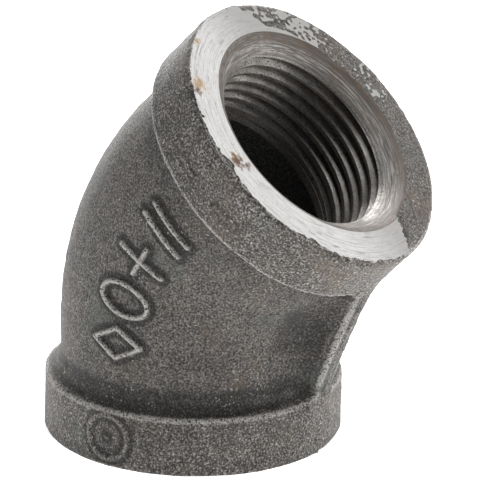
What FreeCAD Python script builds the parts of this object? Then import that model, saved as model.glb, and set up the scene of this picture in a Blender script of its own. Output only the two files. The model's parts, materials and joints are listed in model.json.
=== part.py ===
import FreeCAD, Part
import math
import os
from FreeCAD import Vector

# A threaded 45-degree pipe elbow for 3/4 inch pipe: one malleable-iron casting with a taper pipe
# thread cut into each end. Millimetres. The origin is the centre of the lower port's end face,
# +Z runs along that port's axis into the elbow, and the upper port leans towards +X.
# The casting's parting plane is Y = 0.

# Layout of the two ports.
CENTRE_TO_END = 24.9
BEND_DEG = 45.0
BEND_RADIUS = 25.0

# Outer form.
BAND_RADIUS = 19.35
LOWER_BAND_WIDTH = 7.6
UPPER_BAND_WIDTH = 8.1
BAND_FACE_ROUND = 0.3
BAND_BACK_ROUND = 0.5
BARREL_RADIUS = 17.2
NECK_FILLET = 1.1

# Web that fills the inside of the bend between the bands, rounded along its outer edge.
WEB_THICKNESS = 3.6
WEB_INSET = 0.15
WEB_ROUND = 0.7

# Cored hollow: a wide chamber in the bend, and a narrow cored land behind each thread.
CHAMBER_RADIUS = 13.6
CHAMBER_DEPTH = 14.4
CORED_RADIUS = 11.9

# 3/4-14 right-hand taper pipe thread, cut into a straight bored hole.
PITCH = 25.4 / 14
TAPER_SLOPE = 1 / 32
PITCH_RADIUS = 12.558
THREAD_HEIGHT = 0.8 * PITCH
HOLE_RADIUS = 12.0
HOLE_DEPTH = 13.4
THREAD_TURNS = 7
FIRST_CREST_DEPTH = 2.495

# Mouth: a shallow lead-in ring, then a 45-degree chamfer down to the hole.
MOUTH_RADIUS = 14.85
LEAD_IN_RADIUS = 14.1
LEAD_IN_DEPTH = 0.4

# Raised casting marks on the -Y side: plain geometric figures made of narrow strokes.
MARK_STROKE = 0.65
MARK_HALF_WIDTH = 2.0
MARK_HALF_HEIGHT = 3.4
FIRST_MARK_STATION = 15.9
MARK_SPACING = 6.05
BARREL_MARK_HEIGHT = 0.55
BAND_MARK_HEIGHT = 0.25
BAND_RING_RADIUS = 2.9
BAND_RING_DEPTH = 3.9
BAND_DASH_OFFSET = 4.0
BAND_DASH_HALF_LENGTH = 1.5
BAND_DASH_DEPTH = 5.0

Y_AXIS = Vector(0, 1, 0)
Z_AXIS = Vector(0, 0, 1)
ORIGIN = Vector(0, 0, 0)
BEND = math.radians(BEND_DEG)
FLANK = math.tan(math.radians(30))
STRAIGHT = CENTRE_TO_END - BEND_RADIUS * math.tan(BEND / 2)
UPPER_AXIS = Vector(math.sin(BEND), 0, math.cos(BEND))
UPPER_FACE = Vector(0, 0, CENTRE_TO_END) + UPPER_AXIS * CENTRE_TO_END

# A port's own frame has its end face at z = 0 and +z pointing out of the mouth.
LOWER_PORT = FreeCAD.Placement(ORIGIN, FreeCAD.Rotation(Y_AXIS, 180))
UPPER_PORT = FreeCAD.Placement(UPPER_FACE, FreeCAD.Rotation(Y_AXIS, BEND_DEG))
PORTS = (LOWER_PORT, UPPER_PORT)


def placed(shape, placement):
    """A copy of a shape, moved from its own frame to its place on the elbow."""
    moved = shape.copy()
    moved.Placement = placement.multiply(moved.Placement)
    return moved


def line(start, end):
    """A straight outline edge between two (radius, height) points."""
    return Part.makeLine(Vector(start[0], 0, start[1]), Vector(end[0], 0, end[1]))


def quarter_arc(centre, radius, start_deg, turn_deg):
    """A quarter circle about a (radius, height) centre, turning by turn_deg from start_deg."""
    points = []
    for share in (0, 0.5, 1):
        angle = math.radians(start_deg + share * turn_deg)
        points.append(Vector(centre[0] + radius * math.cos(angle), 0, centre[1] + radius * math.sin(angle)))
    return Part.Arc(*points).toShape()


def bent_rod(radius, start):
    """A round rod along the elbow's centreline, from start inside one end face to start inside the other."""
    height = STRAIGHT - start
    lower = Part.makeCylinder(radius, height, Vector(0, 0, start), Z_AXIS)
    upper = Part.makeCylinder(radius, height, UPPER_FACE - UPPER_AXIS * start, UPPER_AXIS * -1)
    disc = Part.Face(Part.Wire(Part.makeCircle(radius, Vector(0, 0, STRAIGHT), Z_AXIS)))
    bend = disc.revolve(Vector(BEND_RADIUS, 0, STRAIGHT), Y_AXIS, BEND_DEG)
    return lower.fuse([bend, upper]).removeSplitter()


def centreline_frame(station):
    """The frame on the centreline at a distance from the lower end face, with +z along the centreline."""
    angle = (station - STRAIGHT) / BEND_RADIUS
    if angle <= 0:
        return FreeCAD.Placement(Vector(0, 0, station), FreeCAD.Rotation())
    if angle >= BEND:
        back = 2 * STRAIGHT + BEND_RADIUS * BEND - station
        return FreeCAD.Placement(UPPER_FACE - UPPER_AXIS * back, FreeCAD.Rotation(Y_AXIS, BEND_DEG))
    x = BEND_RADIUS * (1 - math.cos(angle))
    z = STRAIGHT + BEND_RADIUS * math.sin(angle)
    return FreeCAD.Placement(Vector(x, 0, z), FreeCAD.Rotation(Y_AXIS, math.degrees(angle)))


def band(width):
    """The thick ring round one port, with a rounded back edge and a filleted neck onto the barrel."""
    face_edge = BAND_RADIUS - BAND_FACE_ROUND
    back_edge = BAND_RADIUS - BAND_BACK_ROUND
    back_level = BAND_BACK_ROUND - width
    neck_edge = BARREL_RADIUS + NECK_FILLET
    neck_level = -width - NECK_FILLET
    edges = [
        line((0, 0), (face_edge, 0)),
        quarter_arc((face_edge, -BAND_FACE_ROUND), BAND_FACE_ROUND, 90, -90),
        line((BAND_RADIUS, -BAND_FACE_ROUND), (BAND_RADIUS, back_level)),
        quarter_arc((back_edge, back_level), BAND_BACK_ROUND, 0, -90),
        line((back_edge, -width), (neck_edge, -width)),
        quarter_arc((neck_edge, neck_level), NECK_FILLET, 90, 90),
        line((BARREL_RADIUS, neck_level), (0, neck_level)),
        line((0, neck_level), (0, 0)),
    ]
    return Part.Face(Part.Wire(edges)).revolve(ORIGIN, Z_AXIS, 360)


def web():
    """The flat web on the inside of the bend, almost flush with both bands and rounded along its edge."""
    reach = BAND_RADIUS - WEB_INSET
    low_start = Vector(reach, 0, LOWER_BAND_WIDTH / 2)
    low_end = Vector(reach, 0, LOWER_BAND_WIDTH)
    high_end = UPPER_PORT.multVec(Vector(reach, 0, -UPPER_BAND_WIDTH))
    high_start = UPPER_PORT.multVec(Vector(reach, 0, -UPPER_BAND_WIDTH / 2))
    crossing = Vector(0, 0, CENTRE_TO_END)
    outline = Part.makePolygon([low_start, low_end, high_end, high_start, crossing, low_start])
    slab = Part.Face(outline).extrude(Y_AXIS * WEB_THICKNESS)
    slab.translate(Y_AXIS * (-WEB_THICKNESS / 2))
    outer = [edge for edge in slab.Edges if on_web_edge(edge, reach - 1, high_start.z + 1)]
    return slab.makeFillet(WEB_ROUND, outer)


def on_web_edge(edge, nearest_x, highest_z):
    """True for the edges that run up the two sides of the web's outer edge."""
    ends = [vertex.Point for vertex in edge.Vertexes]
    runs_up = abs(ends[0].y - ends[1].y) < WEB_ROUND / 2
    return runs_up and min(end.x for end in ends) > nearest_x and max(end.z for end in ends) < highest_z


def stroke(start, end):
    """A bar of stroke width between two (x, z) points, reaching out along -Y from the centre plane."""
    length = math.dist(start, end)
    slope_deg = math.degrees(math.atan2(end[1] - start[1], end[0] - start[0]))
    corner = Vector(-MARK_STROKE / 2, -2 * BAND_RADIUS, -MARK_STROKE / 2)
    bar = Part.makeBox(length + MARK_STROKE, 2 * BAND_RADIUS, MARK_STROKE, corner)
    return placed(bar, FreeCAD.Placement(Vector(start[0], 0, start[1]), FreeCAD.Rotation(Y_AXIS, -slope_deg)))


def strokes(points):
    """Bars joining each point to the next."""
    return [stroke(start, end) for start, end in zip(points, points[1:])]


def ring(radius, stretch):
    """A ring of stroke width about the -Y axis, stretched along x."""
    outer = Part.makeCylinder(radius + MARK_STROKE / 2, 2 * BAND_RADIUS, ORIGIN, Y_AXIS * -1)
    inner = Part.makeCylinder(radius - MARK_STROKE / 2, 2 * BAND_RADIUS, ORIGIN, Y_AXIS * -1)
    matrix = FreeCAD.Matrix()
    matrix.scale(stretch, 1, 1)
    return outer.cut(inner).transformGeometry(matrix)


def barrel_figures():
    """The four figures along the barrel: a diamond, a ring, a plus sign and a pair of bars."""
    wide = MARK_HALF_WIDTH
    high = MARK_HALF_HEIGHT
    diamond = strokes([(high, 0), (0, wide), (-high, 0), (0, -wide), (high, 0)])
    plus = strokes([(high, 0), (-high, 0)]) + strokes([(0, -wide), (0, wide)])
    bars = strokes([(high, -wide / 2), (-high, -wide / 2)]) + strokes([(high, wide / 2), (-high, wide / 2)])
    return [diamond, [ring(wide, high / wide)], plus, bars]


def raised_marks():
    """All the raised marks, each reaching from inside the casting to just above its surface."""
    solids = []
    skin = bent_rod(BARREL_RADIUS + BARREL_MARK_HEIGHT, LOWER_BAND_WIDTH)
    for index, figure in enumerate(barrel_figures()):
        frame = centreline_frame(FIRST_MARK_STATION + index * MARK_SPACING)
        solids += [placed(piece, frame).common(skin) for piece in figure]
    band_skin = Part.makeCylinder(BAND_RADIUS + BAND_MARK_HEIGHT, LOWER_BAND_WIDTH, ORIGIN, Z_AXIS * -1)
    lower_mark = FreeCAD.Placement(Vector(0, 0, -BAND_RING_DEPTH), FreeCAD.Rotation())
    dot = Part.makeCylinder(MARK_STROKE, 2 * BAND_RADIUS, ORIGIN, Y_AXIS * -1)
    for piece in (ring(BAND_RING_RADIUS, 1), dot):
        solids.append(placed(placed(piece, lower_mark).common(band_skin), LOWER_PORT))
    for side in (-1, 1):
        x = side * BAND_DASH_OFFSET
        dash = stroke((x - BAND_DASH_HALF_LENGTH, -BAND_DASH_DEPTH), (x + BAND_DASH_HALF_LENGTH, -BAND_DASH_DEPTH))
        solids.append(placed(dash.common(band_skin), UPPER_PORT))
    return solids


def groove(bottom):
    """The helical V groove that leaves the thread's crests standing, climbing from height bottom."""
    start_radius = PITCH_RADIUS + TAPER_SLOPE * bottom
    root = start_radius + THREAD_HEIGHT / 2
    inner = start_radius - THREAD_HEIGHT / 2
    root_half = PITCH / 4 - FLANK * THREAD_HEIGHT / 2
    inner_half = PITCH / 4 + FLANK * THREAD_HEIGHT / 2
    corners = [(inner, -inner_half), (root, -root_half), (root, root_half), (inner, inner_half)]
    points = [Vector(radius, 0, bottom + offset) for radius, offset in corners]
    profile = Part.makePolygon(points + points[:1])
    cone_deg = math.degrees(math.atan(TAPER_SLOPE))
    helix = Part.makeLongHelix(PITCH, THREAD_TURNS * PITCH, start_radius, cone_deg)
    helix.translate(Z_AXIS * bottom)
    return Part.Wire(helix.Edges).makePipeShell([profile], True, True)


def port_hole():
    """The bored hole in one port, with its chamfered mouth and the cored land behind it."""
    bottom = -STRAIGHT
    chamfer_end = -LEAD_IN_DEPTH - LEAD_IN_RADIUS + HOLE_RADIUS
    edges = [
        line((0, bottom), (CORED_RADIUS, bottom)),
        line((CORED_RADIUS, bottom), (CORED_RADIUS, -HOLE_DEPTH)),
        line((CORED_RADIUS, -HOLE_DEPTH), (HOLE_RADIUS, -HOLE_DEPTH)),
        line((HOLE_RADIUS, -HOLE_DEPTH), (HOLE_RADIUS, chamfer_end)),
        line((HOLE_RADIUS, chamfer_end), (LEAD_IN_RADIUS, -LEAD_IN_DEPTH)),
        line((LEAD_IN_RADIUS, -LEAD_IN_DEPTH), (MOUTH_RADIUS, 0)),
        line((MOUTH_RADIUS, 0), (0, 0)),
        line((0, 0), (0, bottom)),
    ]
    return Part.Face(Part.Wire(edges)).revolve(ORIGIN, Z_AXIS, 360)


def make_casting():
    """The whole casting: the outer form first, then the chamber and both threaded ports cut from it."""
    bands = [placed(band(LOWER_BAND_WIDTH), LOWER_PORT), placed(band(UPPER_BAND_WIDTH), UPPER_PORT)]
    body = bent_rod(BARREL_RADIUS, LOWER_BAND_WIDTH / 2).fuse(bands + [web()])
    body = body.fuse(raised_marks())
    body = body.cut(bent_rod(CHAMBER_RADIUS, CHAMBER_DEPTH))
    thread_bottom = PITCH / 2 - FIRST_CREST_DEPTH - (THREAD_TURNS - 1) * PITCH
    for port in PORTS:
        for cutter in (port_hole(), groove(thread_bottom)):
            body = body.cut(placed(cutter, port))
    return body.removeSplitter()


os.makedirs("parts", exist_ok=True)
make_casting().exportStep("parts/elbow_casting.step")
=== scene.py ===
import json
import math

import bmesh
import bpy
import numpy as np
from mathutils import Matrix, Vector


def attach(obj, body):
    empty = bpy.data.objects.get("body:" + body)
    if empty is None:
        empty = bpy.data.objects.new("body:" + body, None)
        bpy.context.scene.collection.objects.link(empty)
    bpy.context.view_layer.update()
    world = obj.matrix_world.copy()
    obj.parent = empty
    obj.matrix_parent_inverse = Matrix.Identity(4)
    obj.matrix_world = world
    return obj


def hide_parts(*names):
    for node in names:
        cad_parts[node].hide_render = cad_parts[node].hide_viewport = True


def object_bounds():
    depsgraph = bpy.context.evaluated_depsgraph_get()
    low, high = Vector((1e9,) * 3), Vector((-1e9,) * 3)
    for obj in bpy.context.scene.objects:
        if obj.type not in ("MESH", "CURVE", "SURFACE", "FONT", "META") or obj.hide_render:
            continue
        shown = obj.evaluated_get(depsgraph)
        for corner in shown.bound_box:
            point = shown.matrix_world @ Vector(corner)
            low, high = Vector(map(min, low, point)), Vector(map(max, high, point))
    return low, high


# A 45-degree pipe elbow, made the way the real one is: a rough casting is grown from a distance
# field, then smooth cutters machine both end faces, the chamfered mouths and the taper threads.
# Lengths in this script are millimetres in the CAD frame; a mesh is scaled to metres when made.
MM = 0.001

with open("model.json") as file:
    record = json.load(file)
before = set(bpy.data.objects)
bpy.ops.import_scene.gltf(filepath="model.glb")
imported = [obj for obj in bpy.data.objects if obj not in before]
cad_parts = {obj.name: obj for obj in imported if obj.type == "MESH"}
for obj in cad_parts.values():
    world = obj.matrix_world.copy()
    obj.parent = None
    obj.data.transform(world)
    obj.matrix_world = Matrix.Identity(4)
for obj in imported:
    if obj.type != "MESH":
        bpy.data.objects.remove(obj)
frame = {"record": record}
cad_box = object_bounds()

# ---------------------------------------------------------------- sizes from the frame
MOUNTS = {mount["name"]: mount for mount in frame["record"]["mounts"]}
UPPER_AXIS = np.array(MOUNTS["upper_port"]["axis"])
PORT_MID_DEPTH = MOUNTS["lower_port"]["pos_m"][2] / MM
UPPER_FACE = np.array(MOUNTS["upper_port"]["pos_m"]) / MM + PORT_MID_DEPTH * UPPER_AXIS
HOLE_RADIUS = MOUNTS["upper_port"]["dims"]["r_mm"]
BEND = math.atan2(UPPER_AXIS[0], UPPER_AXIS[2])
CENTRE_TO_END = UPPER_FACE[0] / math.sin(BEND)
BAND_RADIUS = -cad_box[0][0] / MM

# ---------------------------------------------------------------- the casting's own sizes
LOWER_BAND_WIDTH = 7.6
UPPER_BAND_WIDTH = 8.1
BAND_FACE_ROUND = 0.35
BAND_BACK_ROUND = 0.5
BARREL_RADIUS = 17.2
BEND_RADIUS = 25.0
LOWER_NECK_FILLET = 3.2
UPPER_NECK_FILLET = 1.6
WEB_HALF_THICKNESS = 1.8
WEB_ROUND = 0.7
WEB_HEAD_FILLET = 0.9
WEB_FOOT_FILLET = 2.0
WEB_FILLET = 4.5
CHAMBER_RADIUS = 13.6
CHAMBER_DEPTH = 14.4
CHAMBER_END_ROUND = 1.2
HOLE_DEPTH = 13.4
CORED_RADIUS = 11.9
MACHINING_ALLOWANCE = 0.25

# The barrel's ends lie this far inside the end faces, and its fillets change over this far onto the web.
BARREL_END_INSET = 2
WEB_BLEND = 2

# How far a band stands out from the barrel. The lower neck's fillet widens from that size to its own
# between two heights.
BAND_STEP = BAND_RADIUS - BARREL_RADIUS
FLARE_START = LOWER_BAND_WIDTH - 0.6
FLARE_END = LOWER_BAND_WIDTH + 1.2

# The +Y half of the upper face lies FACE_DROP below the finished plane. On the bend's inner side it ends
# at a slanting line, with waves of (height, rate, phase). On the outer side its border is at these radii
# and angles, and it comes up towards the plane by each share between two angles.
FACE_DROP = 0.12
UNCUT_EDGE_Y = 3.2
UNCUT_EDGE_SLOPE = 0.48
UNCUT_EDGE_BLUR = 0.15
UNCUT_EDGE_WAVES = ((0.12, 3.7, 0), (0.09, 9.1, 1))
PATCH_BORDER = ((14.8, 136), (15.5, 152), (15.8, 164), (17.3, 171), (19.3, 174))
PATCH_BORDER_BLUR_DEG = 3
PATCH_RISES = ((0.27, 80, 110), (0.04, 125, 150))

# ---------------------------------------------------------------- the machined shapes' sizes
PITCH = 25.4 / 14
TAPER_SLOPE = 1 / 32
PITCH_RADIUS = 12.558
THREAD_HEIGHT = 0.8 * PITCH
FLANK = math.tan(math.radians(30))
FIRST_CREST_DEPTH = 2.495
MOUTH_RADIUS = 14.85
LEAD_IN_RADIUS = 14.1
LEAD_IN_DEPTH = 0.4
THREAD_TURNS = 7
THREAD_FADE_TURNS = 0.6
CREST_BREAK = 0.05
CUTTER_OVERLAP = 0.5
FACING_OVERHANG = 4
MOUTH_OVERHANG = 1

# ---------------------------------------------------------------- the skin's sizes
# The skin's waves are (height, wavelength, seed). The fine waves are in the fine zone only, the pits on
# the uncut half of the upper face, and the chips along the faced half's rim.
SKIN_ROUGHNESS = 0.08
SIZE_MARGIN = 0.01
SKIN_WAVES = ((0.05, 6, 1), (0.04, 2.4, 2), (0.035, 1.1, 3), (0.03, 0.62, 4))
FINE_WAVES = ((0.05, 0.34, 8),)
PIT_WAVES = ((0.078, 0.8, 9), (0.13, 0.45, 11), (0.039, 2.0, 10))
CHIP_WAVES = ((0.25, 0.9, 7), (0.35, 0.45, 6))
FLASH_WAVES = ((0.5, 1.3, 5),)
FINE_FACE_DEPTH = 1.3
FINE_WEB_START = 1.2
PIT_ANGLES = (80, 110)
PIT_DEPTHS = (-0.6, -0.3)
PIT_RADII = (18.4, 19.0)
RIM_BREAK = 0.17
RIM_BREAK_RADII = (BAND_RADIUS - 1.0, BAND_RADIUS - 0.3)
EDGE_WEAR = 0.45
EDGE_WEAR_DEPTHS = (0.1, 1.0)
EDGE_WEAR_BLUR = (-0.05, 0.3)

# Where the rough skin bites into the faced half of the upper end: angle and radius of each bite.
CHIPPED_RIM = ((-180, 20), (-140, 19.6), (-127, 19.1), (-115, 18.8), (-100, 18.7), (-92, 17.7),
               (-84, 18.8), (-74, 19.1), (-63, 19.2), (-56, 18.7), (-49, 18.3), (-42, 18.8),
               (-24, 19.2), (0, 19.2), (10, 20), (180, 20))

# The parting seam: where its crest lies, its width, and how far the +Y half is set back beside it. The
# flash starts this far outside the barrel and fades out within FLASH_FADE of each band's back.
SEAM_Y = -0.3
SEAM_WIDTH = 0.32
FLASH_HEIGHT = 0.4
FLASH_START = (BARREL_RADIUS + 0.5, BARREL_RADIUS + 2)
FLASH_FADE = 1
BAND_SEAM_HEIGHT = 0.26
BAND_SEAM_EVENNESS = 0.6
MOULD_SHIFT = 0.2
MOULD_SHIFT_START = (-0.2, 0.1)
MOULD_SHIFT_END = (3, 13)

# Raised marks on the -Y side.
FIRST_MARK_STATION = 15.9
MARK_SPACING = 6.05
MARK_HALF_WIDTH = 2.0
MARK_HALF_HEIGHT = 3.4
MARK_CREST = 0.1
MARK_FOOT = 0.5
MARK_SHADE = 1.4
BARREL_MARK_HEIGHT = 0.55
BAND_MARK_HEIGHT = 0.25
BAND_RING_RADIUS = 2.9
BAND_RING_DEPTH = 3.9
BAND_DASH_OFFSET = 4.0
BAND_DASH_HALF_LENGTH = 1.5
BAND_DASH_DEPTH = 5.0
BAND_DASH_HEIGHT = 0.12

# Shades kept on the skin for its material. Bends are in 1/mm. An edge or a raised mark is rubbed bright.
# A crease is darkened by painted shade and soot, the skin beside a mark by painted shadow, and the necks and
# bands by painted shade.
RUBBED_SHARE = 0.6
RUBBED_BENDS = (0.4, 1.2)
RUBBED_HEIGHTS = (0.15, 0.5)
MARK_SHADE_HEIGHTS = (0, 0.22)
MARK_TOP_HEIGHTS = (0.02, 0.15)
CREASE_BENDS = (0.05, 0.3)
# The creases' painted shade and soot thin out by this share up the barrel, away from the web.
CREASE_SHADE_FADE_SHARE = 0.6
CREASE_SHADE_FADE_HEIGHTS = (12, 18)
CREASE_SHADE_FADE_OFFSETS = (BARREL_RADIUS - 3, BARREL_RADIUS)

# Painted shade, with some soot above the lower band: its strength, and where it starts and ends. Heights are
# from a band's back.
LOWER_NECK_SHADE_AND_SOOT = (0.95, (-0.25, 0.1), (0.8, 3.2))
LOWER_BAND_PAINTED_SHADE = (0.3, (-4.5, -2), (-0.5, -0.2))
LOWER_PAINTED_SHADE_SPAN = (1, (-11, 1), (14, 17))
UPPER_NECK_PAINTED_SHADE = (0.3, (-6, -2), (-0.4, 0.1))
UPPER_BAND_PAINTED_SHADE = 0.28
UPPER_BAND_PAINTED_SHADE_START = (0.2, 0.6)
UPPER_BAND_PAINTED_SHADE_OFFSETS = (0, 12)

# Where the materials' patterns change: radius and depth at a port, or distance towards +Y.
BAND_RADII = (17.8, 18.8)
BAND_DEPTHS = (8.8, 7.8)
MOUTH_DEPTHS = (2.3, 1.2)
MOUTH_RING_DEPTHS = (1.0, 0.4)
# The next three set where painted shade comes in towards +Y: on the faced end, on the threads and in the
# mouth's ring.
FACE_SHADE_Y = (-9.0, 3.0)
THREAD_SHADE_Y = (4.0, 11.0)
RING_SHADE_Y = (-7.0, 5.0)

# Rust on the upper face: angle round the port, radius, size and colour.
RUST_DARK = (0.085, 0.042, 0.028, 1)
RUST_TAN = (0.31, 0.22, 0.13, 1)
RUST_SPOTS = ((-92, 17.0, 1.3, RUST_TAN), (-91, 16.9, 1.1, RUST_DARK), (-87, 15.8, 0.7, RUST_DARK),
              (-128, 18.0, 1.4, RUST_TAN), (-124, 18.4, 0.7, RUST_DARK), (-150, 18.6, 0.9, RUST_TAN))

# ---------------------------------------------------------------- mesh and noise sizes
VOXEL = 0.3
GRID_MARGIN = 2
COLUMNS = 240
CORE_COLUMNS = 96
CORE_ROWS = 48
CORNER_ROWS = 5
SHARP_DEG = 38
LATTICE = 64
LATTICE_SHIFT = 1000
EDGE_PROBE = 0.4
CREASE_PROBE = 1.3

# ---------------------------------------------------------------- light and camera, in metres
SURROUND_FAR = 1.1
SURROUND_NEAR = 0.6
SURROUND_TURN = 0.5
SURROUND_CEILING = 0.05
CEILING_RISE = 0.5
FLOOR_GLOW = 0.7
FLOOR_HALF_SIZE = 4.0
FLOOR_GAP = 0.0001
LIGHT_TARGET = (0.007, 0, 0.026)
LIGHT_DISTANCE = 0.5

# Each area light: name, azimuth (0 on the -Y side, 90 on the +X side), elevation, size and watts.
LIGHTS = (
    ("left_light", -128, 2, 0.2, 1.0),
    ("right_light", 115, 6, 0.25, 0.8),
    ("face_light", 158, 31, 0.35, 0.25),
    ("mouth_light", -150, 47, 0.2, 2.6),
    ("top_light", 72, 72, 0.2, 1.6),
)

# The camera stands far off, with a long lens.
CAMERA_AZIMUTH_DEG = 33.146
CAMERA_ELEVATION_DEG = 18.978
CAMERA_ROLL_DEG = 1.003
CAMERA_DISTANCE = 0.4065
CAMERA_TARGET = (0.006832, 0, 0.026009)
CAMERA_LENS = 240.5
CAMERA_CLIP_START = 0.01

STRAIGHT = CENTRE_TO_END - BEND_RADIUS * math.tan(BEND / 2)
LENGTH = 2 * STRAIGHT + BEND_RADIUS * BEND
INNER_SIDE = np.array([math.cos(BEND), 0, -math.sin(BEND)])


# ---------------------------------------------------------------- noise and distance helpers
def lattice_noise(points, wavelength, seed):
    """Smooth noise in -1..1 with about the given wavelength, the same on every run."""
    table = np.random.default_rng(seed).uniform(-1, 1, (LATTICE, LATTICE, LATTICE)).astype(np.float32)
    scaled = points / wavelength + LATTICE_SHIFT
    base = np.floor(scaled).astype(np.int32)
    share = scaled - base
    share = share * share * (3 - 2 * share)
    total = np.zeros(len(points))
    for corner in range(8):
        step = np.array([corner & 1, corner >> 1 & 1, corner >> 2])
        index = (base + step) % LATTICE
        weight = np.prod(np.where(step, share, 1 - share), axis=1)
        total += weight * table[index[:, 0], index[:, 1], index[:, 2]]
    return total


def sum_waves(points, waves):
    """The sum of several noises, each given as (height, wavelength, seed)."""
    return sum(height * lattice_noise(points, wavelength, seed) for height, wavelength, seed in waves)


def smooth_max(a, b, width):
    """The larger of two distances, with the crease between them rounded over width."""
    share = np.clip(0.5 + 0.5 * (a - b) / width, 0, 1)
    return b + (a - b) * share + width * share * (1 - share)


def smooth_min(a, b, width):
    """The smaller of two distances, with the crease between them filleted over width."""
    return -smooth_max(-a, -b, width)


def ramp(value, low, high):
    """A smooth step from 0 at low to 1 at high."""
    share = np.clip((value - low) / (high - low), 0, 1)
    return share * share * (3 - 2 * share)


def stretch(value, strength, start, end):
    """A strength that comes in smoothly over the range start and goes out over the range end."""
    return strength * ramp(value, *start) * (1 - ramp(value, *end))


# ---------------------------------------------------------------- the rough casting as a field
def upper_port_coordinates(x, y, z):
    """Offset towards the bend's inner side, depth below the upper face, and radius from its axis."""
    inner = (x - UPPER_FACE[0]) * INNER_SIDE[0] + (z - UPPER_FACE[2]) * INNER_SIDE[2]
    depth = -(x - UPPER_FACE[0]) * UPPER_AXIS[0] - (z - UPPER_FACE[2]) * UPPER_AXIS[2]
    return inner, depth, np.hypot(inner, y)


def centreline_coordinates(x, y, z):
    """Station along the centreline, offset towards the bend's inner side, and distance from the line."""
    across = BEND_RADIUS - x
    rise = z - STRAIGHT
    angle = np.clip(np.arctan2(rise, across), 0, BEND)
    upper_inner, upper_depth, _ = upper_port_coordinates(x, y, z)
    in_bend = BEND_RADIUS - np.hypot(across, rise)
    inner = np.where(angle <= 0, x, np.where(angle >= BEND, upper_inner, in_bend))
    past_bend = np.where(angle >= BEND, LENGTH - upper_depth, STRAIGHT + BEND_RADIUS * angle)
    station = np.where(angle <= 0, z, past_bend)
    return station, inner, np.hypot(inner, y)


def band_field(radial, depth, face_level, width):
    """A band: a disc with rounded edges, from its rough end face down to its back."""
    side = radial - BAND_RADIUS + SKIN_ROUGHNESS + SIZE_MARGIN
    ends = smooth_max(side, face_level - depth, BAND_FACE_ROUND)
    return smooth_max(ends, depth - width, BAND_BACK_ROUND)


def web_field(x, y, z, station, inner):
    """The web: a rounded slab on the parting plane, held inside the line that joins the two bands."""
    low = np.array([BAND_RADIUS, 0, LOWER_BAND_WIDTH])
    high = UPPER_FACE + BAND_RADIUS * INNER_SIDE - UPPER_BAND_WIDTH * UPPER_AXIS
    run = (high - low) / np.linalg.norm(high - low)
    beyond = (x - low[0]) * run[2] - (z - low[2]) * run[0]
    slab = smooth_max(beyond, np.abs(y) - WEB_HALF_THICKNESS, WEB_ROUND)
    from_ends = np.abs(station - LENGTH / 2) - LENGTH / 2 + LOWER_BAND_WIDTH / 2
    return np.maximum(slab, np.maximum(BARREL_RADIUS / 2 - inner, from_ends))


def upper_face_level(inner, y, radial):
    """Depth of the upper end's rough face below the finished plane.

    The -Y half stands proud and gets faced. The +Y half lies just below the plane and stays as cast.
    Its far end, on the bend's outer side, only just reaches the plane, so that it's faced in patches.
    """
    wobble = sum(height * np.sin(rate * inner + phase) for height, rate, phase in UNCUT_EDGE_WAVES)
    line = np.where(inner > 0, UNCUT_EDGE_Y - UNCUT_EDGE_SLOPE * (inner - MOUTH_RADIUS) + wobble, 0)
    uncut = ramp(y - line, -UNCUT_EDGE_BLUR, UNCUT_EDGE_BLUR)
    angle = np.degrees(np.arctan2(y, inner))
    border = np.interp(radial, *zip(*PATCH_BORDER))
    rise = sum(share * ramp(angle, start, end) for share, start, end in PATCH_RISES)
    beyond = ramp(angle, border - PATCH_BORDER_BLUR_DEG, border + PATCH_BORDER_BLUR_DEG)
    uncut = uncut * (1 - rise) * (1 - beyond)
    return uncut * (FACE_DROP + MACHINING_ALLOWANCE) - MACHINING_ALLOWANCE


def casting_field(x, y, z):
    """Signed distance to the rough casting's outside, negative inside. The inside is still solid."""
    station, inner, radial = centreline_coordinates(x, y, z)
    past_ends = np.maximum(BARREL_END_INSET - station, station - LENGTH + BARREL_END_INSET)
    barrel = np.maximum(radial - BARREL_RADIUS, past_ends)
    upper_inner, upper_depth, upper_radial = upper_port_coordinates(x, y, z)
    upper_level = upper_face_level(upper_inner, y, upper_radial)
    trunk = smooth_min(barrel, web_field(x, y, z, station, inner), WEB_FILLET)
    on_web = ramp(inner, BARREL_RADIUS, BARREL_RADIUS + WEB_BLEND)
    flare = BAND_STEP + (LOWER_NECK_FILLET - BAND_STEP) * ramp(z, FLARE_START, FLARE_END)
    lower_fillet = flare + (WEB_FOOT_FILLET - flare) * on_web
    upper_fillet = UPPER_NECK_FILLET + (WEB_HEAD_FILLET - UPPER_NECK_FILLET) * on_web
    lower_band = band_field(np.hypot(x, y), z, -MACHINING_ALLOWANCE, LOWER_BAND_WIDTH)
    upper_band = band_field(upper_radial, upper_depth, upper_level, UPPER_BAND_WIDTH)
    return smooth_min(smooth_min(trunk, lower_band, lower_fillet), upper_band, upper_fillet)


# ---------------------------------------------------------------- field to mesh
def field_grid():
    """Grid lines round the whole casting, and the field's value at every grid point."""
    low = np.array(cad_box[0]) / MM - GRID_MARGIN
    high = np.array(cad_box[1]) / MM + GRID_MARGIN
    axes = [np.arange(low[k], high[k] + VOXEL, VOXEL) for k in range(3)]
    x, y, z = np.meshgrid(*axes, indexing="ij", sparse=True)
    return axes, np.broadcast_to(casting_field(x, y, z), [len(axis) for axis in axes])


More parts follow.
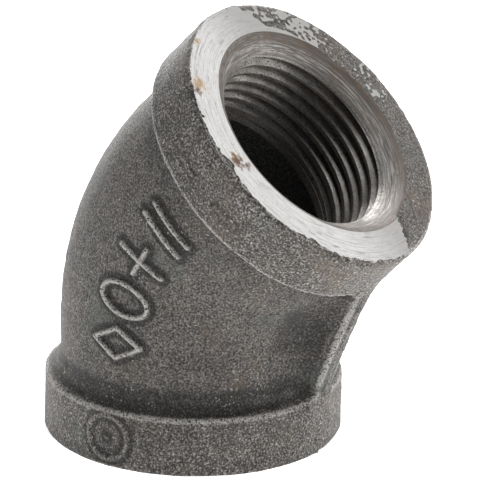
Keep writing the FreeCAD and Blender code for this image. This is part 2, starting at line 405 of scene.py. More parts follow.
def surface_net(axes, values):
    """Vertices and quads of the field's zero surface: one vertex in each cell that the surface crosses."""
    inside = values < 0
    corners = [(i, j, k) for i in (0, 1) for j in (0, 1) for k in (0, 1)]
    shape = [n - 1 for n in values.shape]

    def corner_slice(array, corner):
        return array[tuple(slice(step, step + size) for step, size in zip(corner, shape))]

    count = sum(corner_slice(inside, corner).astype(np.int8) for corner in corners)
    cells = np.argwhere((count > 0) & (count < 8))
    number = np.full(shape, -1, np.int64)
    number[tuple(cells.T)] = np.arange(len(cells))
    total = np.zeros((len(cells), 3))
    crossings = np.zeros(len(cells))
    for start in corners:
        for axis in range(3):
            if start[axis]:
                continue
            end = tuple(step + (k == axis) for k, step in enumerate(start))
            first = values[tuple((cells + start).T)]
            second = values[tuple((cells + end).T)]
            crossed = (first < 0) != (second < 0)
            share = np.where(crossed, first / np.where(crossed, first - second, 1), 0)
            point = np.repeat(np.array(start, float)[None], len(cells), 0)
            point[:, axis] += share
            total += point * crossed[:, None]
            crossings += crossed
    vertices = (cells + total / crossings[:, None]) * VOXEL + np.array([axis[0] for axis in axes])
    quads = []
    for axis in range(3):
        ahead = tuple(slice(1, None) if k == axis else slice(None) for k in range(3))
        behind = tuple(slice(None, -1) if k == axis else slice(None) for k in range(3))
        u, v = (axis + 1) % 3, (axis + 2) % 3
        edges = np.argwhere(inside[ahead] != inside[behind])
        leaves = inside[tuple(edges.T)]
        around = []
        for step_u, step_v in ((-1, -1), (0, -1), (0, 0), (-1, 0)):
            cell = edges.copy()
            cell[:, u] += step_u
            cell[:, v] += step_v
            around.append(number[tuple(cell.T)])
        ring = np.stack(around, axis=1)
        quads.append(np.where(leaves[:, None], ring, ring[:, ::-1]))
    return vertices, np.concatenate(quads)


def mesh_object(name, vertices, faces, material):
    """An object from millimetre vertices and faces, with the faces turned to look outwards."""
    mesh = bpy.data.meshes.new(name)
    mesh.from_pydata((vertices * MM).tolist(), [], [list(face) for face in faces])
    mesh.materials.append(material)
    shape = bmesh.new()
    shape.from_mesh(mesh)
    bmesh.ops.recalc_face_normals(shape, faces=shape.faces)
    shape.to_mesh(mesh)
    shape.free()
    made = bpy.data.objects.new(name, mesh)
    bpy.context.scene.collection.objects.link(made)
    return made


# ---------------------------------------------------------------- places on the elbow
class Port:
    """A port's own frame: x towards the bend's inner side or away from it, and z out of the mouth."""

    def __init__(self, origin, x_axis, z_axis):
        self.origin = np.array(origin, float)
        self.axes = np.array([x_axis, (0, 1, 0), z_axis], float)

    def place(self, points):
        """Points of the port's own frame, given in the row frame."""
        return self.origin + points @ self.axes

    def local(self, points):
        """Points of the row frame, given in the port's own frame."""
        return (points - self.origin) @ self.axes.T


PORTS = {
    "lower": Port((0, 0, 0), (-1, 0, 0), (0, 0, -1)),
    "upper": Port(UPPER_FACE, INNER_SIDE, UPPER_AXIS),
}


def centreline_frame(station):
    """The frame on the centreline at a station: x towards the bend's inner side, z along the line."""
    angle = np.clip((station - STRAIGHT) / BEND_RADIUS, 0, BEND)
    x_axis = np.array([math.cos(angle), 0, -math.sin(angle)])
    z_axis = np.array([math.sin(angle), 0, math.cos(angle)])
    bend_centre = np.array([BEND_RADIUS, 0, STRAIGHT])
    beyond = station - STRAIGHT - BEND_RADIUS * angle
    return Port(bend_centre - BEND_RADIUS * x_axis + beyond * z_axis, x_axis, z_axis)


# ---------------------------------------------------------------- raised marks on the casting
def stroke_distance(across, along, points):
    """Distance from each place to a chain of straight strokes."""
    nearest = np.full(len(across), np.inf)
    for start, end in zip(points, points[1:]):
        run = np.subtract(end, start)
        share = ((across - start[0]) * run[0] + (along - start[1]) * run[1]) / (run @ run)
        share = np.clip(share, 0, 1)
        gap = np.hypot(across - start[0] - share * run[0], along - start[1] - share * run[1])
        nearest = np.minimum(nearest, gap)
    return nearest


def oval_distance(across, along, half_across, half_along):
    """Rough distance from each place to an oval line."""
    reach = np.hypot(across / half_across, along / half_along)
    slope = np.hypot(across / half_across**2, along / half_along**2) / np.maximum(reach, 1e-6)
    return np.abs(reach - 1) / np.maximum(slope, 1e-6)


def barrel_figure(index, across, along):
    """Distance to one of the barrel's four figures: a diamond, an oval, a plus sign, a pair of bars."""
    high, wide = MARK_HALF_HEIGHT, MARK_HALF_WIDTH
    if index == 0:
        corners = [(high, 0), (0, wide), (-high, 0), (0, -wide), (high, 0)]
        return stroke_distance(across, along, corners)
    if index == 1:
        return oval_distance(across, along, high, wide)
    if index == 2:
        upright = stroke_distance(across, along, [(0, -wide), (0, wide)])
        return np.minimum(upright, stroke_distance(across, along, [(-high, 0), (high, 0)]))
    bars = [stroke_distance(across, along, [(-high, side), (high, side)]) for side in (-wide / 2, wide / 2)]
    return np.minimum(*bars)


def marks(points, crest, foot):
    """Height of all the raised marks at each point of the skin. They're all on the -Y side.

    A stroke is at its full height out to the distance crest from its middle line, and ends at foot.
    """

    def relief(distance, height):
        return height * (1 - ramp(distance, crest, foot))

    height = np.zeros(len(points))
    for index in range(4):
        local = centreline_frame(FIRST_MARK_STATION + index * MARK_SPACING).local(points)
        figure = relief(barrel_figure(index, local[:, 0], local[:, 2]), BARREL_MARK_HEIGHT)
        height = np.maximum(height, figure)
    lower = PORTS["lower"].local(points)
    along = lower[:, 2] + BAND_RING_DEPTH
    ring = oval_distance(lower[:, 0], along, BAND_RING_RADIUS, BAND_RING_RADIUS)
    dot = np.hypot(lower[:, 0], along)
    on_lower_band = lower[:, 2] > -LOWER_BAND_WIDTH
    height = np.maximum(height, on_lower_band * relief(np.minimum(ring, dot), BAND_MARK_HEIGHT))
    upper = PORTS["upper"].local(points)
    for side in (-1, 1):
        ends = [(side * BAND_DASH_OFFSET + end * BAND_DASH_HALF_LENGTH, -BAND_DASH_DEPTH) for end in (-1, 1)]
        dash = stroke_distance(upper[:, 0], upper[:, 2], ends)
        height = np.maximum(height, (upper[:, 2] > -UPPER_BAND_WIDTH) * relief(dash, BAND_DASH_HEIGHT))
    return height * (points[:, 1] < 0)


# ---------------------------------------------------------------- skin relief
def fine_zone(points):
    """True where the skin's mesh is made twice as fine: the upper end, the marks and the web's edge."""
    upper = PORTS["upper"].local(points)
    at_face = (upper[:, 2] > -FINE_FACE_DEPTH) & (np.hypot(upper[:, 0], upper[:, 1]) > LEAD_IN_RADIUS)
    station, inner, _ = centreline_coordinates(*points.T)
    between_bands = np.abs(station - LENGTH / 2) < LENGTH / 2 - LOWER_BAND_WIDTH
    on_web = (inner > BARREL_RADIUS + FINE_WEB_START) & between_bands
    return at_face | on_web | (marks(points, MARK_FOOT, MARK_SHADE) > 0)


def parting_seam(points):
    """The seam's height on the web and the lower band, and how far the casting is set back beside it."""
    station, inner, _ = centreline_coordinates(*points.T)
    ragged = 0.5 + sum_waves(points, FLASH_WAVES)
    on_web = ramp(inner, *FLASH_START)
    on_web *= ramp(station, LOWER_BAND_WIDTH - FLASH_FADE, LOWER_BAND_WIDTH + FLASH_FADE)
    on_web *= ramp(LENGTH - station, UPPER_BAND_WIDTH - FLASH_FADE, UPPER_BAND_WIDTH + FLASH_FADE)
    below_back = 1 - ramp(points[:, 2], LOWER_BAND_WIDTH - BAND_BACK_ROUND, LOWER_BAND_WIDTH)
    on_band = (points[:, 0] > BARREL_RADIUS) * below_back
    band_seam = BAND_SEAM_HEIGHT * (BAND_SEAM_EVENNESS + (1 - BAND_SEAM_EVENNESS) * ragged)
    crest = np.exp(-((points[:, 1] - SEAM_Y) / SEAM_WIDTH) ** 2)
    seam = crest * (FLASH_HEIGHT * on_web * ragged + on_band * band_seam)
    return seam, on_band * stretch(points[:, 1], MOULD_SHIFT, MOULD_SHIFT_START, MOULD_SHIFT_END)


def upper_end_relief(points):
    """Pits on the upper face's uncut half, less the wear and the chips along the end's rim."""
    upper = PORTS["upper"].local(points)
    angle = np.degrees(np.arctan2(upper[:, 1], upper[:, 0]))
    from_axis = np.hypot(upper[:, 0], upper[:, 1])
    pitted = ramp(angle, *PIT_ANGLES) * ramp(upper[:, 2], *PIT_DEPTHS) * (1 - ramp(from_axis, *PIT_RADII))
    near_face = 1 - ramp(-upper[:, 2], *EDGE_WEAR_DEPTHS)
    sound_radius = np.interp(angle, *zip(*CHIPPED_RIM)) + sum_waves(points, CHIP_WAVES)
    chipped = EDGE_WEAR * ramp(from_axis - sound_radius, *EDGE_WEAR_BLUR)
    broken = RIM_BREAK * ramp(from_axis, *RIM_BREAK_RADII)
    return pitted * sum_waves(points, PIT_WAVES) - near_face * (chipped + broken)


def skin_relief(points):
    """How far the skin stands off the smooth casting, and how much of that is marks and flash."""
    rough = sum_waves(points, SKIN_WAVES) + fine_zone(points) * sum_waves(points, FINE_WAVES)
    flash, set_back = parting_seam(points)
    raised = flash + marks(points, MARK_CREST, MARK_FOOT)
    return np.minimum(rough, SKIN_ROUGHNESS) + upper_end_relief(points) - set_back + raised, raised


# ---------------------------------------------------------------- solids and cutters
def surface_probe(points, step):
    """The casting field's outward direction, and how sharply its surface bends, at each point.

    The bend is positive on an outside edge and negative in a crease, in 1/mm.
    """
    slopes = []
    bend = -6 * casting_field(*points.T)
    for axis in range(3):
        shift = np.zeros(3)
        shift[axis] = step
        ahead, behind = casting_field(*(points + shift).T), casting_field(*(points - shift).T)
        slopes.append(ahead - behind)
        bend += ahead + behind
    normals = np.stack(slopes, axis=1)
    return normals / np.linalg.norm(normals, axis=1, keepdims=True), bend / step**2


def refine(mesh):
    """Halve the mesh's edges in the fine zone, and give all its vertices in millimetres."""
    shape = bmesh.new()
    shape.from_mesh(mesh)
    shape.verts.ensure_lookup_table()
    fine = fine_zone(np.array([vertex.co for vertex in shape.verts]) / MM)
    edges = [edge for edge in shape.edges if fine[edge.verts[0].index] and fine[edge.verts[1].index]]
    bmesh.ops.subdivide_edges(shape, edges=edges, cuts=1, use_grid_fill=True)
    shape.to_mesh(mesh)
    shape.free()
    return np.array([vertex.co for vertex in mesh.vertices]) / MM


def crease_shade_and_soot(points):
    """Painted shade and soot in the casting's creases, from 0 to 1. It thins out up the barrel, away from the
    web.
    """
    _, bend = surface_probe(points, CREASE_PROBE)
    _, inner, _ = centreline_coordinates(*points.T)
    crease_shade_fade = ramp(points[:, 2], *CREASE_SHADE_FADE_HEIGHTS) * (1 - ramp(inner, *CREASE_SHADE_FADE_OFFSETS))
    # Painted shade with soot: darker where the surface bends inwards.
    return ramp(-bend, *CREASE_BENDS) * (1 - CREASE_SHADE_FADE_SHARE * crease_shade_fade)


def neck_and_band_shade(points):
    """Other painted shade on the skin, with some soot above the lower band, from 0 to 1: round the two necks,
    and on the upper band's outer side.
    """
    height = points[:, 2] - LOWER_BAND_WIDTH
    # Painted shade above and on the lower band, with some soot at the neck.
    lower = np.maximum(stretch(height, *LOWER_NECK_SHADE_AND_SOOT), stretch(height, *LOWER_BAND_PAINTED_SHADE))
    upper = PORTS["upper"].local(points)
    height = UPPER_BAND_WIDTH + upper[:, 2]
    # Painted shade on the upper band's outer side and under the upper band.
    band = UPPER_BAND_PAINTED_SHADE * ramp(height, *UPPER_BAND_PAINTED_SHADE_START)
    band *= ramp(-upper[:, 0], *UPPER_BAND_PAINTED_SHADE_OFFSETS)
    lower *= stretch(points[:, 0], *LOWER_PAINTED_SHADE_SPAN)
    return np.maximum(lower, np.maximum(stretch(height, *UPPER_NECK_PAINTED_SHADE), band))


def shades(points, bend, raised):
    """How rubbed the skin is at each point, and how dark with painted shade and soot, from 0 to 1."""
    rubbed = np.maximum(RUBBED_SHARE * ramp(bend, *RUBBED_BENDS), ramp(raised, *RUBBED_HEIGHTS))
    # Painted shadow round each raised mark, but not on its top.
    shadow_beside_marks = ramp(marks(points, MARK_FOOT, MARK_SHADE), *MARK_SHADE_HEIGHTS)
    shadow_beside_marks *= 1 - ramp(raised, *MARK_TOP_HEIGHTS)
    dark = np.maximum(np.maximum(crease_shade_and_soot(points), shadow_beside_marks), neck_and_band_shade(points))
    # The hollow shade is painted shade, with soot in the creases and above the lower band.
    return {"crest": rubbed, "hollow": dark}


def rough_casting(material):
    """The casting as it leaves the sand: solid inside, with its skin, marks and flash."""
    vertices, faces = surface_net(*field_grid())
    casting = mesh_object("elbow_casting_skin", vertices, faces, material)
    vertices = refine(casting.data)
    normals, bend = surface_probe(vertices, EDGE_PROBE)
    vertices -= normals * casting_field(*vertices.T)[:, None]
    relief_height, raised = skin_relief(vertices)
    moved = (vertices + normals * relief_height[:, None]) * MM
    casting.data.vertices.foreach_set("co", moved.ravel())
    for name, values in shades(vertices, bend, raised).items():
        stored = casting.data.attributes.new(name, "FLOAT", "POINT")
        stored.data.foreach_set("value", values.astype(np.float32))
    return casting


def stacked_solid(name, rings, material):
    """A closed solid from a stack of rings with equal numbers of points, capped at both ends."""
    layers, around = rings.shape[:2]
    index = np.arange(layers * around).reshape(layers, around)
    after = np.roll(index, -1, axis=1)
    faces = np.stack([index[:-1], after[:-1], after[1:], index[1:]], axis=-1).reshape(-1, 4).tolist()
    faces += [index[0][::-1].tolist(), index[-1].tolist()]
    return mesh_object(name, rings.reshape(-1, 3), faces, material)


def turned_solid(name, port, profile, material):
    """A solid turned about a port's axis from (radius, depth) points."""
    angle = 2 * np.pi * np.arange(COLUMNS) / COLUMNS
    circle = np.stack([np.cos(angle), np.sin(angle), np.zeros(COLUMNS)], axis=1)
    rings = [radius * circle - (0, 0, depth) for radius, depth in profile]
    return stacked_solid(name, port.place(np.array(rings)), material)


def facing_cut(name, port, material):
    """Everything beyond a port's end face."""
    reach = BAND_RADIUS + FACING_OVERHANG
    return turned_solid(name, port, [(reach, -FACING_OVERHANG), (reach, 0)], material)


def bore_cut(name, port, material):
    """The mouth's lead-in ring and chamfer, the hole to be threaded, and the cored land behind it."""
    chamfer_end = LEAD_IN_DEPTH + LEAD_IN_RADIUS - HOLE_RADIUS
    profile = [
        (MOUTH_RADIUS, -MOUTH_OVERHANG),
        (MOUTH_RADIUS, 0),
        (LEAD_IN_RADIUS, LEAD_IN_DEPTH),
        (HOLE_RADIUS, chamfer_end),
        (HOLE_RADIUS, HOLE_DEPTH),
        (CORED_RADIUS, HOLE_DEPTH),
        (CORED_RADIUS, CHAMBER_DEPTH + CHAMBER_END_ROUND / 2),
    ]
    return turned_solid(name, port, profile, material)


def thread_cut(name, port, material):
    """The helical groove, with its root fading out over the last turn in."""
    turns = np.arange(THREAD_TURNS * COLUMNS + 1) / COLUMNS
    start_depth = FIRST_CREST_DEPTH - PITCH / 2 + (THREAD_TURNS - 1) * PITCH
    depth = start_depth - PITCH * turns
    pitch_radius = PITCH_RADIUS - TAPER_SLOPE * depth
    root = pitch_radius + THREAD_HEIGHT / 2
    start_root = HOLE_RADIUS + CREST_BREAK
    root = start_root + (root - start_root) * ramp(turns, 0, THREAD_FADE_TURNS)
    flat = PITCH / 4 - FLANK * THREAD_HEIGHT / 2
    shoulder = PITCH / 4 + FLANK * (pitch_radius - HOLE_RADIUS - CREST_BREAK)
    mouth = shoulder + CREST_BREAK
    levels = [
        (HOLE_RADIUS - CUTTER_OVERLAP, -mouth),
        (HOLE_RADIUS, -mouth),
        (HOLE_RADIUS + CREST_BREAK, -shoulder),
        (root, -flat),
        (root, flat),
        (HOLE_RADIUS + CREST_BREAK, shoulder),
        (HOLE_RADIUS, mouth),
        (HOLE_RADIUS - CUTTER_OVERLAP, mouth),
    ]
    angle = 2 * np.pi * turns
    rings = []
    for radius, offset in levels:
        height = offset - depth
        rings.append(np.stack([radius * np.cos(angle), radius * np.sin(angle), height], axis=1))
    return stacked_solid(name, port.place(np.stack(rings, axis=1)), material)


def chamber_cut(name, material):
    """The cored hollow in the bend, with rounded ends."""
    corner = np.linspace(0, np.pi / 2, CORNER_ROWS)[1:]
    start = CHAMBER_DEPTH + CHAMBER_END_ROUND * (1 - np.sin(corner))
    radius = CHAMBER_RADIUS - CHAMBER_END_ROUND * (1 - np.cos(corner[::-1]))
    straight_start = CHAMBER_DEPTH + CHAMBER_END_ROUND
    middle = np.linspace(straight_start, LENGTH - straight_start, CORE_ROWS)[1:-1]
    stations = np.concatenate([start[::-1], middle, LENGTH - start])
    radii = np.concatenate([radius, np.full(len(middle), CHAMBER_RADIUS), radius[::-1]])
    angle = 2 * np.pi * np.arange(CORE_COLUMNS) / CORE_COLUMNS
    circle = np.stack([np.cos(angle), np.sin(angle), np.zeros(CORE_COLUMNS)], axis=1)
    rings = [centreline_frame(station).place(reach * circle) for station, reach in zip(stations, radii)]
    return stacked_solid(name, np.array(rings), material)


def machine(casting, cutters):
    """Cut each cutter from the casting in turn, leaving the cutter's material on the cut faces."""
    for cutter in cutters:
        cut = casting.modifiers.new(cutter.name, "BOOLEAN")
        cut.object = cutter
        cut.operation = "DIFFERENCE"
        cut.solver = "MANIFOLD"
        cut.material_mode = "TRANSFER"
    bpy.context.view_layer.update()
    evaluated = casting.evaluated_get(bpy.context.evaluated_depsgraph_get())
    finished = bpy.data.meshes.new_from_object(evaluated)
    casting.modifiers.clear()
    casting.data = finished
    for cutter in cutters:
        bpy.data.objects.remove(cutter)
    finished.polygons.foreach_set("use_smooth", [True] * len(finished.polygons))
    finished.set_sharp_from_angle(angle=math.radians(SHARP_DEG))
    faced = [material.name.startswith("machined_face") for material in finished.materials]
    smooth = [not faced[polygon.material_index] for polygon in finished.polygons]
    finished.polygons.foreach_set("use_smooth", smooth)


# ---------------------------------------------------------------- materials
class Pattern:
    """A material's node tree, with a short call for each kind of node that the patterns use."""

    def __init__(self, name):
        self.material = bpy.data.materials.new(name)
        self.material.use_nodes = True
        self.tree = self.material.node_tree
        self.tree.nodes.clear()
        self.place = self.vector("SCALE", self.node("TexCoord", {}).outputs["Object"], scale=1 / MM)

    def node(self, kind, inputs, **settings):
        """A node with its settings, and each input linked to a socket or set to a value."""
        made = self.tree.nodes.new("ShaderNode" + kind)
        for name, value in settings.items():
            setattr(made, name, value)
        for key, value in inputs.items():
            if isinstance(value, bpy.types.NodeSocket):
                self.tree.links.new(value, made.inputs[key])
            else:
                made.inputs[key].default_value = value
        return made

    def vector(self, operation, first, second=(0, 0, 0), scale=1.0):
        """The vector result of a vector operation."""
        return self.node("VectorMath", {0: first, 1: second, 3: scale}, operation=operation).outputs[0]

    def value(self, operation, first, second=0.0):
        """The result of a number operation."""
        return self.node("Math", {0: first, 1: second}, operation=operation).outputs[0]

    def times(self, first, second):
        """The product of two numbers."""
        return self.value("MULTIPLY", first, second)

    def noise(self, size, detail=2.0, place=None):
        """Noise from 0 to 1 whose features are about size millimetres wide."""
        inputs = {"Vector": place or self.place, "Scale": 1 / size, "Detail": detail, "Distortion": 0.0}
        return self.node("TexNoise", inputs).outputs[0]

    def rings(self, coordinate, size, detail=2.0):
        """Noise from 0 to 1 along one coordinate only."""
        inputs = {"W": coordinate, "Scale": 1 / size, "Detail": detail}
        return self.node("TexNoise", inputs, noise_dimensions="1D").outputs[0]

    def step(self, value, low, high):
        """A smooth step from 0 at low to 1 at high."""
        inputs = {0: value, 1: low, 2: high}
        return self.node("MapRange", inputs, interpolation_type="SMOOTHSTEP").outputs[0]

    def mix(self, share, first, second):
        """A colour part of the way from the first to the second."""
        return self.node("Mix", {0: share, 6: first, 7: second}, data_type="RGBA").outputs[2]

    def level(self, share, first, second):
        """A number part of the way from the first to the second."""
        return self.node("Mix", {0: share, 2: first, 3: second}, data_type="FLOAT").outputs[0]

    def bump(self, height, depth_mm, normal=None):
        """Fine relief: a height from 0 to 1 that stands for depth_mm millimetres."""
        inputs = {"Height": height, "Distance": depth_mm * MM, "Strength": 1.0}
        if normal:
            inputs["Normal"] = normal
        return self.node("Bump", inputs).outputs[0]

    def attribute(self, name):
        """A number stored at the mesh's points."""
        return self.node("Attribute", {}, attribute_name=name).outputs["Fac"]

    def away(self):
        """How far a place lies towards +Y, in millimetres."""
        return self.node("SeparateXYZ", {0: self.place}).outputs[1]

    def distance(self, point):
        """Distance from a point given in millimetres."""
        offset = self.vector("SUBTRACT", self.place, tuple(point))
        return self.node("VectorMath", {0: offset}, operation="LENGTH").outputs[1]

    def port_place(self, port):
        """Radius from a port's axis and depth below its face, in millimetres."""
        offset = self.vector("SUBTRACT", self.place, tuple(port.origin))
        axis = tuple(port.axes[2])
        across = self.vector("CROSS_PRODUCT", offset, axis)
        radius = self.node("VectorMath", {0: across}, operation="LENGTH").outputs[1]
        height = self.node("VectorMath", {0: offset, 1: axis}, operation="DOT_PRODUCT").outputs[1]
        return radius, self.times(height, -1.0)

    def round_port(self, port, across, along):
        """A place whose features run round a port: across and along are their frequencies, in 1/mm."""
        offset = self.vector("SUBTRACT", self.place, tuple(port.origin))
        radius, depth = self.port_place(port)
        track = self.times(self.value("SUBTRACT", radius, depth), across)
        parts = self.node("SeparateXYZ", {0: self.vector("SCALE", offset, scale=along)}).outputs
        heading = self.node("CombineXYZ", {0: track, 1: parts[0], 2: parts[1]})
        return heading.outputs[0]

    def finish(self, colour, roughness, metallic, normal, specular=0.5):
        """Close the tree with one Principled shader, and give back the material."""
        inputs = {"Base Color": colour, "Roughness": roughness, "Metallic": metallic, "Normal": normal,
                  "Specular IOR Level": specular}
        shader = self.node("BsdfPrincipled", inputs)
        output = self.node("OutputMaterial", {})
        self.tree.links.new(shader.outputs[0], output.inputs[0])
        return self.material


def grey(level, warmth=0.0):
    """A grey whose red is raised and blue is lowered by the share warmth."""
    return (level * (1 + warmth), level, level * (1 - warmth), 1)


def cast_skin():
    """Charcoal sand-cast iron: fine grain, bright specks thickest on the bands, brown and green patches, and
    painted shade with some soot.
    """
    iron_dark, iron_light = grey(0.068, 0.09), grey(0.09, 0.1)
    pit, shade_and_soot_tone = grey(0.012, 0.1), grey(0.008, 0.12)
    glint, speck_tone, rubbed = grey(0.27, 0.08), grey(0.45, 0.04), grey(0.5, 0.04)
    brown, green = (0.11, 0.08, 0.05, 1), (0.062, 0.08, 0.068, 1)
    p = Pattern("cast_iron_skin")
    grain = p.noise(0.25, 2.5)
    fine = p.noise(0.14, 1.0)
    patch = p.noise(8, 2.0)
    blotch = p.noise(2.2, 2.0)
    on_band = 0.0
    for port in PORTS.values():
        radius, depth = p.port_place(port)
        on_this_band = p.times(p.step(radius, *BAND_RADII), p.step(depth, *BAND_DEPTHS))
        on_band = p.value("MAXIMUM", on_band, on_this_band)
    tone = p.mix(p.step(blotch, 0.35, 0.65), iron_dark, iron_light)
    tone = p.mix(p.step(grain, 0.48, 0.37), tone, pit)
    tone = p.mix(p.times(p.step(grain, 0.53, 0.64), p.level(on_band, 0.6, 1.0)), tone, glint)
    tone = p.mix(p.times(p.step(patch, 0.56, 0.72), 0.4), tone, brown)
    tone = p.mix(p.times(p.step(patch, 0.42, 0.3), 0.4), tone, green)
    # Painted shade, with some soot, from the skin's hollow shade.
    shade_and_soot_share = p.times(p.attribute("hollow"), p.level(p.step(grain, 0.45, 0.62), 0.97, 0.72))
    tone = p.mix(shade_and_soot_share, tone, shade_and_soot_tone)
    thick = p.value("MAXIMUM", on_band, p.step(patch, 0.5, 0.62))
    speck = p.times(p.step(p.noise(0.32, 1.0), 0.64, 0.72), p.step(blotch, 0.4, 0.55))
    tone = p.mix(p.times(speck, p.level(thick, 0.25, 0.85)), tone, speck_tone)
    crest = p.times(p.attribute("crest"), p.step(grain, 0.34, 0.52))
    tone = p.mix(p.times(crest, 0.85), tone, rubbed)
    normal = p.bump(fine, 0.05, p.bump(grain, 0.2))
    return p.finish(tone, p.level(grain, 0.7, 0.5), 0.0, normal)


def cored_skin():
    """The wall of the cored hollow: the outside's rough iron, in much darker tones."""
    cored_darkest, iron, brown = grey(0.006, 0.1), grey(0.045, 0.08), (0.035, 0.025, 0.018, 1)
    p = Pattern("cored_iron_skin")
    grain = p.noise(0.3, 2.5)
    patch = p.noise(4, 2.0)
    tone = p.mix(p.step(grain, 0.4, 0.65), cored_darkest, iron)
    tone = p.mix(p.times(p.step(patch, 0.5, 0.7), 0.4), tone, brown)
    return p.finish(tone, p.level(grain, 0.85, 0.65), 0.0, p.bump(grain, 0.2))


def add_rust(p, port, tone, smear):
    """The face's tone with its rust spots added, and how rusty each place is, from 0 to 1."""
    rust = 0.0
    for angle_deg, reach, size, colour in RUST_SPOTS:
        angle = math.radians(angle_deg)
        centre = port.place(np.array([reach * math.cos(angle), reach * math.sin(angle), 0]))
        ragged = p.value("ADD", p.distance(centre), p.times(p.noise(0.6, 4.0), 2.4 * size))
        spot = p.times(p.step(ragged, 2.4 * size, 1.4 * size), p.step(smear, 0.25, 0.5))
        tone = p.mix(spot, tone, colour)
        rust = p.value("MAXIMUM", rust, spot)
    return tone, rust


def machined_face(port):
    """Freshly faced iron: bright, with fine turning marks round the port, a few rust stains, and painted
    shade towards +Y.
    """
    bright, groove, score = grey(0.9, 0.01), grey(0.62, 0.015), grey(0.25, 0.04)
    smeared, dull, face_shade_tone = grey(0.5, 0.06), grey(0.5, 0.03), grey(0.42, 0.03)
    p = Pattern("machined_face")
    radius, _ = p.port_place(port)
    track = p.value("ADD", radius, p.times(p.noise(6, 1.0), 0.25))
    streaks = p.noise(1, 3.0, p.round_port(port, 7, 0.5))
    turning = p.times(p.value("ADD", p.rings(track, 0.13, 2.0), streaks), 0.5)
    scores = p.noise(1, 2.0, p.round_port(port, 4, 0.35))
    smear = p.noise(1.5, 3.0)
    tone = p.mix(p.step(turning, 0.36, 0.56), groove, bright)
    tone = p.mix(p.times(p.step(scores, 0.62, 0.7), 0.7), tone, score)
    tone = p.mix(p.times(p.step(smear, 0.56, 0.75), 0.35), tone, smeared)
    tone = p.mix(p.times(p.step(p.noise(0.3, 2.0), 0.56, 0.7), 0.4), tone, dull)
    # Painted shade: the face is darker towards +Y.
    tone = p.mix(p.times(p.step(p.away(), *FACE_SHADE_Y), 0.75), tone, face_shade_tone)
    tone, rust = add_rust(p, port, tone, smear)
    normal = p.bump(scores, 0.02, p.bump(turning, 0.015))
    return p.finish(tone, p.level(rust, 0.34, 0.7), p.level(rust, 0.85, 0.1), normal)


def cut_thread(port):
    """Tapped iron: grey, with tool lines round the port, brown stains and brown painted shade in the mouth's
    ring, and painted shade on the threads towards +Y.
    """
    thread_dark, thread_light, pit, far_wall_shade_tone = grey(0.13, 0.07), grey(0.29, 0.06), grey(0.05, 0.1), grey(0.02, 0.1)
    mouth_dark, mouth_light, score = grey(0.1, 0.08), grey(0.34, 0.06), grey(0.05, 0.12)
    ring_dark, ring_shade = grey(0.09, 0.12), (0.06, 0.047, 0.036, 1)
    stain_tone, dirt_tone = (0.09, 0.055, 0.038, 1), (0.1, 0.07, 0.045, 1)
    p = Pattern("cut_thread")
    radius, depth = p.port_place(port)
    away = p.away()
    lines = p.rings(p.value("ADD", depth, p.times(radius, 0.6)), 0.12, 2.0)
    dirt = p.noise(1.2, 3.0)
    grain = p.noise(0.22, 2.0)
    near_mouth = p.step(depth, *MOUTH_DEPTHS)
    in_ring = p.step(depth, *MOUTH_RING_DEPTHS)
    tone = p.mix(p.step(lines, 0.3, 0.7), thread_dark, thread_light)
    tone = p.mix(p.step(grain, 0.5, 0.36), tone, pit)
    streaks = p.noise(1, 3.0, p.round_port(port, 4.5, 0.45))
    scored = p.mix(p.step(streaks, 0.44, 0.58), mouth_dark, mouth_light)
    turned = p.step(p.rings(p.value("SUBTRACT", radius, depth), 0.3, 2.0), 0.56, 0.66)
    scored = p.mix(p.times(turned, 0.6), scored, score)
    tone = p.mix(near_mouth, tone, scored)
    tone = p.mix(p.times(in_ring, 0.75), tone, ring_dark)
    # Painted shade on the threads towards +Y, stronger deep in the bore than at the mouth.
    far_wall_shade = p.times(p.step(away, *THREAD_SHADE_Y), p.level(near_mouth, 0.65, 0.2))
    tone = p.mix(far_wall_shade, tone, far_wall_shade_tone)
    shaded = p.times(p.times(p.step(away, *RING_SHADE_Y), p.level(in_ring, 0.25, 0.85)), near_mouth)
    shaded = p.times(shaded, p.level(p.step(streaks, 0.42, 0.6), 1.0, 0.55))
    tone = p.mix(shaded, tone, ring_shade)
    stain = p.step(p.noise(0.6, 3.0), 0.5, 0.65)
    tone = p.mix(p.times(in_ring, stain), tone, stain_tone)
    tone = p.mix(p.times(p.step(dirt, 0.5, 0.7), 0.45), tone, dirt_tone)
    roughness = p.level(near_mouth, p.level(dirt, 0.32, 0.52), 0.55)
    normal = p.bump(grain, 0.035, p.bump(lines, 0.02))
    return p.finish(tone, roughness, p.level(near_mouth, 0.4, 0.15), normal)


def pale_floor():
    """A matt white floor that glows softly, as a light table does."""
    p = Pattern("pale_floor")
    tone = p.mix(p.noise(40, 2.0), grey(0.9), grey(0.94))
    material = p.finish(tone, 0.9, 0.0, p.bump(p.noise(3, 2.0), 0.05), 0.1)
    shader = material.node_tree.nodes["Principled BSDF"]
    shader.inputs["Emission Color"].default_value = grey(1.0)
    shader.inputs["Emission Strength"].default_value = FLOOR_GLOW
    return material


# ---------------------------------------------------------------- the elbow
skin = cast_skin()
casting = rough_casting(skin)
cutters = []
for port_name, port in PORTS.items():
    face_material = machined_face(port)
    thread_material = cut_thread(port)
    cutters.append(facing_cut(port_name + "_facing", port, face_material))
    cutters.append(bore_cut(port_name + "_bore", port, thread_material))
    cutters.append(thread_cut(port_name + "_thread", port, thread_material))
cutters.append(chamber_cut("chamber", cored_skin()))
machine(casting, cutters)
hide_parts("elbow_casting")
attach(casting, "root")


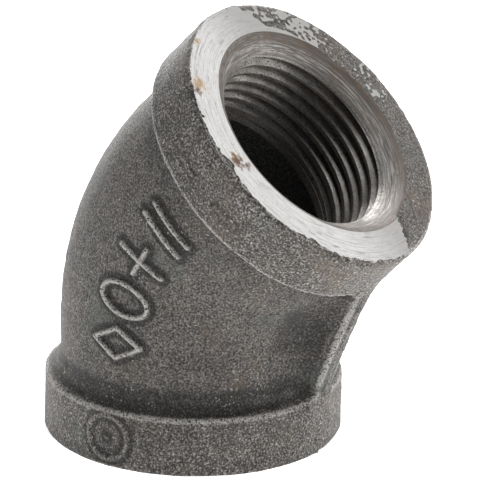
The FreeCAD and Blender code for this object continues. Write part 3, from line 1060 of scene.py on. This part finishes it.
# ---------------------------------------------------------------- the stage
def stage():
    """The floor under the elbow."""
    mesh = bpy.data.meshes.new("floor")
    far = FLOOR_HALF_SIZE
    corners = [(-far, -far, 0), (far, -far, 0), (far, far, 0), (-far, far, 0)]
    mesh.from_pydata(corners, [], [(0, 1, 2, 3)])
    mesh.materials.append(pale_floor())
    floor = bpy.data.objects.new("floor", mesh)
    floor.location.z = cad_box[0][2] - FLOOR_GAP
    bpy.context.scene.collection.objects.link(floor)


def aim(made, position, target):
    """Put an object at a position, with its -Z axis towards the target."""
    back = (Vector(position) - Vector(target)).normalized()
    made.location = position
    made.rotation_euler = back.to_track_quat("Z", "Y").to_euler()


def soft_light(name, azimuth_deg, elevation_deg, size, power):
    """A square area light aimed at the elbow's centre."""
    light = bpy.data.lights.new(name, "AREA")
    light.size = size
    light.energy = power
    made = bpy.data.objects.new(name, light)
    bpy.context.scene.collection.objects.link(made)
    azimuth, elevation = math.radians(azimuth_deg), math.radians(elevation_deg)
    across = math.cos(elevation)
    towards = Vector((across * math.sin(azimuth), -across * math.cos(azimuth), math.sin(elevation)))
    centre = Vector(LIGHT_TARGET)
    aim(made, centre + LIGHT_DISTANCE * towards, centre)


def smooth_range(tree, value, start, end, first, last):
    """A node that takes a value from start to end smoothly over to first to last."""
    made = tree.nodes.new("ShaderNodeMapRange")
    made.interpolation_type = "SMOOTHSTEP"
    tree.links.new(value, made.inputs[0])
    for key, limit in enumerate((start, end, first, last), start=1):
        made.inputs[key].default_value = limit
    return made.outputs[0]


def surround():
    """A white surround that is dimmer on the camera's side and overhead."""
    world = bpy.data.worlds.new("studio")
    bpy.context.scene.world = world
    world.use_nodes = True
    tree = world.node_tree
    direction = tree.nodes.new("ShaderNodeTexCoord").outputs["Generated"]
    towards = tree.nodes.new("ShaderNodeVectorMath")
    towards.operation = "DOT_PRODUCT"
    azimuth = math.radians(CAMERA_AZIMUTH_DEG)
    towards.inputs[1].default_value = (math.sin(azimuth), -math.cos(azimuth), 0)
    tree.links.new(direction, towards.inputs[0])
    parts = tree.nodes.new("ShaderNodeSeparateXYZ")
    tree.links.new(direction, parts.inputs[0])
    side = smooth_range(tree, towards.outputs[1], -SURROUND_TURN, SURROUND_TURN, SURROUND_FAR, SURROUND_NEAR)
    overhead = smooth_range(tree, parts.outputs[2], 0.0, CEILING_RISE, 1.0, SURROUND_CEILING)
    strength = tree.nodes.new("ShaderNodeMath")
    strength.operation = "MULTIPLY"
    tree.links.new(side, strength.inputs[0])
    tree.links.new(overhead, strength.inputs[1])
    background = tree.nodes["Background"]
    tree.links.new(strength.outputs[0], background.inputs["Strength"])
    background.inputs["Color"].default_value = (1, 1, 1, 1)


def camera():
    """The camera at the photograph's viewing angle, far off and with a long lens."""
    data = bpy.data.cameras.new("camera")
    data.lens = CAMERA_LENS
    data.clip_start = CAMERA_CLIP_START
    made = bpy.data.objects.new("camera", data)
    bpy.context.scene.collection.objects.link(made)
    azimuth, elevation = math.radians(CAMERA_AZIMUTH_DEG), math.radians(CAMERA_ELEVATION_DEG)
    back = Vector((math.sin(azimuth) * math.cos(elevation), -math.cos(azimuth) * math.cos(elevation),
                   math.sin(elevation)))
    right = Vector((math.cos(azimuth), math.sin(azimuth), 0))
    up = back.cross(right)
    roll = math.radians(CAMERA_ROLL_DEG)
    rolled_right = right * math.cos(roll) + up * math.sin(roll)
    rolled_up = up * math.cos(roll) - right * math.sin(roll)
    place = Matrix((rolled_right, rolled_up, back)).transposed().to_4x4()
    place.translation = Vector(CAMERA_TARGET) + back * CAMERA_DISTANCE
    made.matrix_world = place
    bpy.context.scene.camera = made


stage()
surround()
for light in LIGHTS:
    soft_light(*light)
camera()
bpy.context.scene.view_settings.view_transform = "Standard"
